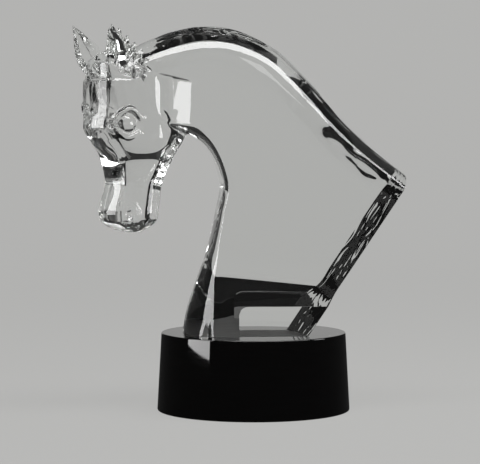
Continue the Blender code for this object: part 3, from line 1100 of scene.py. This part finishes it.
def polished_black_glass(colour, bloom_colour):
    """Cast black glass, turned, ground and polished."""
    # A deep black mirror. The polishing left it faintly uneven, in waves a few centimetres long, with a thin
    # bloom of fine rings round the drum.
    glass, tree = new_material("polished_black_glass")
    place = add_node(tree, "ShaderNodeTexCoord").outputs["Object"]
    rings = add_node(tree, "ShaderNodeMapping", inputs={"Vector": place, "Scale": (1, 1, 12)})
    pattern = {"Vector": rings.outputs["Vector"], "Scale": 1 / (30 * MM), "Detail": 4.0}
    bloom = add_node(tree, "ShaderNodeTexNoise", inputs=pattern)
    shade = {"Factor": bloom.outputs["Fac"], 6: colour, 7: bloom_colour}
    shade = add_node(tree, "ShaderNodeMix", {"data_type": "RGBA"}, shade)
    rough = {"Value": bloom.outputs["Fac"], "To Min": 0.0, "To Max": 0.05}
    rough = add_node(tree, "ShaderNodeMapRange", inputs=rough)
    pattern = {"Vector": place, "Scale": 1 / (45 * MM), "Detail": 1.0}
    waves = add_node(tree, "ShaderNodeTexNoise", inputs=pattern)
    bump = {"Height": waves.outputs["Fac"], "Strength": 0.3, "Distance": 0.1 * MM}
    bump = add_node(tree, "ShaderNodeBump", inputs=bump)
    inputs = {
        "Base Color": shade.outputs[2],
        "Roughness": rough.outputs["Result"],
        "IOR": BLACK_GLASS_IOR,
        "Normal": bump.outputs["Normal"],
    }
    shader = add_node(tree, "ShaderNodeBsdfPrincipled", inputs=inputs)
    add_node(tree, "ShaderNodeOutputMaterial", inputs={"Surface": shader.outputs["BSDF"]})
    return glass


def glowing_paper(tone, glow):
    """Matt studio paper, lit from behind as well as from the front."""
    # Its glow keeps one even tone from the floor up to the walls, and leaves a soft shadow round the drum.
    paper, tree = new_material("glowing_paper")
    matt_tone = (*(PAPER_MATT * part for part in tone[:3]), 1)
    matt = add_node(tree, "ShaderNodeBsdfDiffuse", inputs={"Color": matt_tone})
    lit = add_node(tree, "ShaderNodeEmission", inputs={"Color": tone, "Strength": glow})
    both = add_node(tree, "ShaderNodeAddShader", inputs={0: matt.outputs["BSDF"], 1: lit.outputs["Emission"]})
    add_node(tree, "ShaderNodeOutputMaterial", inputs={"Surface": both.outputs["Shader"]})
    return paper


def black_velvet(colour):
    """Black velvet that swallows light."""
    # The crystal's edges show it, and stand out dark against the paper.
    velvet, tree = new_material("black_velvet")
    matt = add_node(tree, "ShaderNodeBsdfDiffuse", inputs={"Color": colour})
    add_node(tree, "ShaderNodeOutputMaterial", inputs={"Surface": matt.outputs["BSDF"]})
    return velvet


# ---------------------------------------------------------------- studio


def backdrop():
    """A sweep of paper behind the piece that curves up from the floor."""
    curve = [
        (BACKDROP_FRONT + BACKDROP_CURVE * math.sin(a), BACKDROP_CURVE * (1 - math.cos(a)))
        for a in np.linspace(0, math.pi / 2, BACKDROP_STEPS)
    ]
    profile = [*curve, (curve[-1][0], BACKDROP_TOP)]
    points = [(x, y, z) for y, z in profile for x in BACKDROP_SIDES]
    faces = [(2 * i, 2 * i + 1, 2 * i + 3, 2 * i + 2) for i in range(len(profile) - 1)]
    made = object_from("backdrop", points, faces)
    made.data.shade_smooth()
    return made


def curved_wall(name, radius, height, start, end):
    """An upright wall round the origin, between two directions in degrees from the backdrop's middle."""
    turns = np.radians(np.linspace(start, end, WALL_STEPS))
    points = [(radius * math.sin(t), radius * math.cos(t), z) for t in turns for z in (0, height)]
    faces = [(2 * i, 2 * i + 2, 2 * i + 3, 2 * i + 1) for i in range(len(turns) - 1)]
    return object_from(name, points, faces)


def sheet(name, low, high, z):
    """A flat sheet on the floor."""
    corners = [(low[0], low[1], z), (high[0], low[1], z), (high[0], high[1], z), (low[0], high[1], z)]
    return object_from(name, corners, [(0, 1, 2, 3)])


def paper_room(settings):
    """The floor, the backdrop and the walls around them, which the black glass doesn't mirror."""
    floor = sheet("floor", (-WALL_RADIUS, -WALL_RADIUS), (WALL_RADIUS, BACKDROP_FRONT), 0)
    wall = curved_wall("wall", WALL_RADIUS, WALL_HEIGHT, -180, 180)
    room = [floor, wall, backdrop()]
    paper = glowing_paper(settings.paper_tone, settings.paper_glow)
    for piece in room:
        piece.data.materials.append(paper)
    floor.visible_glossy = False
    wall.visible_glossy = False
    return room


def velvet_flags(settings):
    """Dark sheets behind the piece and on both sides of the backdrop, seen only through the crystal."""
    flags = [
        sheet("floor_flag", *FLOOR_FLAG, FLOOR_FLAG_HEIGHT),
        curved_wall("left_flag", FLAG_RADIUS, WALL_HEIGHT, *LEFT_FLAG),
        curved_wall("right_flag", FLAG_RADIUS, WALL_HEIGHT, *RIGHT_FLAG),
    ]
    velvet = black_velvet(settings.flag_colour)
    for flag in flags:
        flag.data.materials.append(velvet)
        flag.visible_camera = False
        flag.visible_diffuse = False
        flag.visible_glossy = False
        flag.visible_shadow = False
    return flags


def add_softbox(name, place, aim, size, watts, lights_paper):
    """A soft rectangular light. One that doesn't light the paper shows only as a reflection."""
    light = bpy.data.lights.new(name, "AREA")
    light.shape = "RECTANGLE"
    light.size, light.size_y = size
    light.energy = watts
    made = bpy.data.objects.new(name, light)
    made.location = place
    made.rotation_euler = (Vector(aim) - Vector(place)).to_track_quat("-Z", "Y").to_euler()
    made.visible_camera = False
    made.visible_transmission = lights_paper
    made.visible_diffuse = lights_paper
    bpy.context.scene.collection.objects.link(made)


def add_camera(settings):
    """The camera, turned round the upright axis by its azimuth and tipped down a little."""
    data = bpy.data.cameras.new("camera")
    data.lens = settings.lens
    data.sensor_width = CAMERA_SENSOR
    made = bpy.data.objects.new("camera", data)
    turn = settings.camera_azimuth
    distance = settings.camera_distance
    made.location = (distance * math.sin(turn), -distance * math.cos(turn), CAMERA_HEIGHT)
    made.rotation_euler = (math.pi / 2 - CAMERA_TIP, 0, turn + CAMERA_SWING)
    bpy.context.scene.collection.objects.link(made)
    bpy.context.scene.camera = made


def studio(settings):
    """Paper, flags, lights and camera."""
    scene = bpy.context.scene
    scene.view_settings.view_transform = "Standard"
    scene.cycles.max_bounces = GLASS_BOUNCES
    scene.cycles.transmission_bounces = GLASS_BOUNCES
    scene.cycles.glossy_bounces = GLASS_BOUNCES // 2
    world = bpy.data.worlds.new("dark_room")
    world.use_nodes = True
    world.node_tree.nodes["Background"].inputs["Color"].default_value = settings.room_colour
    scene.world = world
    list(paper_room(settings))
    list(velvet_flags(settings))
    for softbox in SOFTBOXES:
        add_softbox(*softbox)
    add_camera(settings)


# ---------------------------------------------------------------- settings, operators and panel


class HorseSettings(bpy.types.PropertyGroup):
    """Sizes and colours of the crystal."""

    foot_width: FloatProperty(
        name="Foot width",
        description="Distance between the flats ground into the sides of the foot",
        default=124 * MM, min=112 * MM, max=140 * MM, precision=4, subtype="DISTANCE", unit="LENGTH",
    )
    cut_slant: FloatProperty(
        name="Cut slant",
        description="How far the cut behind the neck is turned away from square",
        default=math.radians(9), min=0, max=math.radians(15), subtype="ANGLE", unit="ROTATION",
    )
    mark_depth: FloatProperty(
        name="Mark depth",
        description="Depth of the tool marks along the top of the mane",
        default=1.1 * MM, min=0, max=2 * MM, precision=4, subtype="DISTANCE", unit="LENGTH",
    )
    groove_depth: FloatProperty(
        name="Groove depth",
        description="Depth of the grooves down the far side of the mane",
        default=2.4 * MM, min=0, max=4 * MM, precision=4, subtype="DISTANCE", unit="LENGTH",
    )
    skin_step: FloatProperty(
        name="Skin step",
        description="Spacing of the grid that the crystal is worked in. A smaller step gives a finer skin",
        default=1.25 * MM, min=1.2 * MM, max=4 * MM, precision=5, subtype="DISTANCE", unit="LENGTH",
    )
    tint: FloatVectorProperty(
        name="Crystal",
        description="Colour of light that has passed through the polished crystal",
        default=hex_colour("#FBFCFB"), min=0, max=1, size=4, subtype="COLOR",
    )
    sheared_tint: FloatVectorProperty(
        name="Sheared crystal",
        description="Colour of light that has passed through the sheared face",
        default=hex_colour("#F4F6F5"), min=0, max=1, size=4, subtype="COLOR",
    )
    adhesive_colour: FloatVectorProperty(
        name="Adhesive",
        description="Colour of the adhesive under the foot",
        default=hex_colour("#0A0A0A"), min=0, max=1, size=4, subtype="COLOR",
    )


class DrumSettings(bpy.types.PropertyGroup):
    """Sizes and colours of the drum."""

    height: FloatProperty(
        name="Height",
        description="Height of the drum",
        default=DRUM_HEIGHT, min=20 * MM, max=200 * MM, precision=4, subtype="DISTANCE", unit="LENGTH",
    )
    foot_radius: FloatProperty(
        name="Foot radius",
        description="Radius of the drum where it stands",
        default=DRUM_FOOT_RADIUS, min=80 * MM, max=200 * MM, precision=4, subtype="DISTANCE", unit="LENGTH",
    )
    taper: FloatProperty(
        name="Taper",
        description="How much smaller the radius is at the top",
        default=5.5 * MM, min=0, max=20 * MM, precision=4, subtype="DISTANCE", unit="LENGTH",
    )
    edge: FloatProperty(
        name="Edge",
        description="Radius of the rounded edges",
        default=1.5 * MM, min=0.2 * MM, max=6 * MM, precision=4, subtype="DISTANCE", unit="LENGTH",
    )
    sides: IntProperty(
        name="Sides",
        description="How many faces go round the drum",
        default=192, min=24, max=512,
    )
    colour: FloatVectorProperty(
        name="Glass",
        description="Colour of the black glass",
        default=hex_colour("#020202"), min=0, max=1, size=4, subtype="COLOR",
    )
    bloom_colour: FloatVectorProperty(
        name="Bloom",
        description="Colour of the glass where the polish is thinnest",
        default=hex_colour("#0B0A0A"), min=0, max=1, size=4, subtype="COLOR",
    )


class StudioSettings(bpy.types.PropertyGroup):
    """Camera, tones and colours of the studio."""

    camera_azimuth: FloatProperty(
        name="Camera azimuth",
        description="Turn of the camera round the upright axis, from straight in front of the near side",
        default=math.radians(-5), subtype="ANGLE", unit="ROTATION",
    )
    camera_distance: FloatProperty(
        name="Camera distance",
        description="Distance from the camera to the upright axis",
        default=2.566, min=1.0, max=2.9, precision=3, subtype="DISTANCE", unit="LENGTH",
    )
    lens: FloatProperty(
        name="Lens",
        description="Focal length of the camera",
        default=149.77, min=20, max=400, unit="CAMERA",
    )
    paper_tone: FloatVectorProperty(
        name="Paper",
        description="Tone of the floor, the backdrop and the walls",
        default=hex_colour("#FFFFFD"), min=0, max=1, size=4, subtype="COLOR",
    )
    paper_glow: FloatProperty(
        name="Paper glow",
        description="How brightly the paper is lit from behind",
        default=0.425, min=0, max=1, subtype="FACTOR",
    )
    flag_colour: FloatVectorProperty(
        name="Flags",
        description="Colour of the dark flags that the crystal's edges show",
        default=hex_colour("#1A1A1A"), min=0, max=1, size=4, subtype="COLOR",
    )
    room_colour: FloatVectorProperty(
        name="Room",
        description="Colour of the dark room above the walls",
        default=hex_colour("#303030"), min=0, max=1, size=4, subtype="COLOR",
    )


class CRYSTAL_OT_horse_head(bpy.types.Operator):
    """Make the crystal head and neck, with ears and forelock"""

    bl_idname = "crystal.horse_head"
    bl_label = "Horse head"

    def execute(self, context):
        piece = crystal_piece(context.scene.crystal_horse)
        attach(piece, BODY)
        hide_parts(CRYSTAL_NODE)
        return {"FINISHED"}


class CRYSTAL_OT_drum(bpy.types.Operator):
    """Make the black glass drum under the crystal"""

    bl_idname = "crystal.drum"
    bl_label = "Drum"

    def execute(self, context):
        piece = drum_piece(context.scene.crystal_drum)
        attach(piece, BODY)
        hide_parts(DRUM_NODE)
        return {"FINISHED"}


class CRYSTAL_OT_studio(bpy.types.Operator):
    """Make the paper, flags, lights and camera"""

    bl_idname = "crystal.studio"
    bl_label = "Studio"

    def execute(self, context):
        studio(context.scene.crystal_studio)
        return {"FINISHED"}


class CRYSTAL_PT_sidebar(bpy.types.Panel):
    """Lists the pieces and the studio with their settings"""

    bl_label = "Crystal horse head"
    bl_space_type = "VIEW_3D"
    bl_region_type = "UI"
    bl_category = "Crystal"

    def draw(self, context):
        scene = context.scene
        for operator, settings in (
            (CRYSTAL_OT_horse_head, scene.crystal_horse),
            (CRYSTAL_OT_drum, scene.crystal_drum),
            (CRYSTAL_OT_studio, scene.crystal_studio),
        ):
            box = self.layout.box()
            for name in type(settings).__annotations__:
                box.prop(settings, name)
            box.operator(operator.bl_idname)


CLASSES = (
    HorseSettings,
    DrumSettings,
    StudioSettings,
    CRYSTAL_OT_horse_head,
    CRYSTAL_OT_drum,
    CRYSTAL_OT_studio,
    CRYSTAL_PT_sidebar,
)


def register():
    """Registers the classes, and puts their settings on the scene."""
    for each in CLASSES:
        bpy.utils.register_class(each)
    bpy.types.Scene.crystal_horse = PointerProperty(type=HorseSettings)
    bpy.types.Scene.crystal_drum = PointerProperty(type=DrumSettings)
    bpy.types.Scene.crystal_studio = PointerProperty(type=StudioSettings)


def unregister():
    """Takes the settings and the classes away again."""
    del bpy.types.Scene.crystal_studio
    del bpy.types.Scene.crystal_drum
    del bpy.types.Scene.crystal_horse
    for each in reversed(CLASSES):
        bpy.utils.unregister_class(each)


def main():
    """Makes the pieces and the studio."""
    register()
    bpy.ops.crystal.horse_head()
    bpy.ops.crystal.drum()
    bpy.ops.crystal.studio()


if __name__ == "__main__":
    main()
